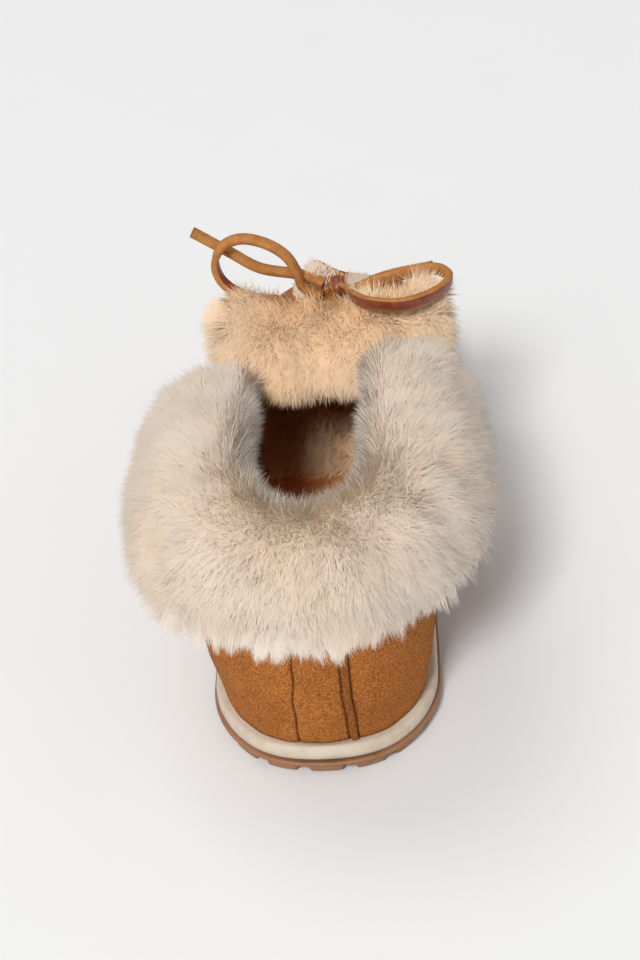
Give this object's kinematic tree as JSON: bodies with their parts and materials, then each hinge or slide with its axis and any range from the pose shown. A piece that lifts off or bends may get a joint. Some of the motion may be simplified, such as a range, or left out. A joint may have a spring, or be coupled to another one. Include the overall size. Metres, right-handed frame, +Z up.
{
  "type": "sheepskin slipper",
  "caption": "Left-foot sheepskin slipper: hollow suede upper on a lugged sole, with a folded fleece cuff, fleece tongue and footbed, and a thong lace tied in a bow.",
  "frame": {"origin": "on the floor, under the middle of the box of the shoe without its lace", "axes": "+Y from heel to toe, +X to the inner side of the foot, +Z up"},
  "size_m": [0.1116, 0.248, 0.1114],
  "materials": {
    "gum_rubber": "matte moulded gum rubber",
    "cream_midsole": "satin moulded foam rubber",
    "footbed_fleece": "short curly sheepskin pile",
    "suede": "napped suede",
    "cuff_fleece": "long combed sheepskin pile",
    "thong_leather": "waxed grain on one face, raw flesh on the other"
  },
  "bodies": {
    "root": {"outsole": "gum_rubber", "midsole": "cream_midsole", "insole": "footbed_fleece", "upper": "suede", "cuff": "cuff_fleece", "tongue": "cuff_fleece", "lace_bar": "thong_leather", "lace_knot": "thong_leather", "lace_loop_left": "thong_leather", "lace_loop_right": "thong_leather", "lace_end_left": "thong_leather", "lace_end_right": "thong_leather"}
  },
  "joints": []
}
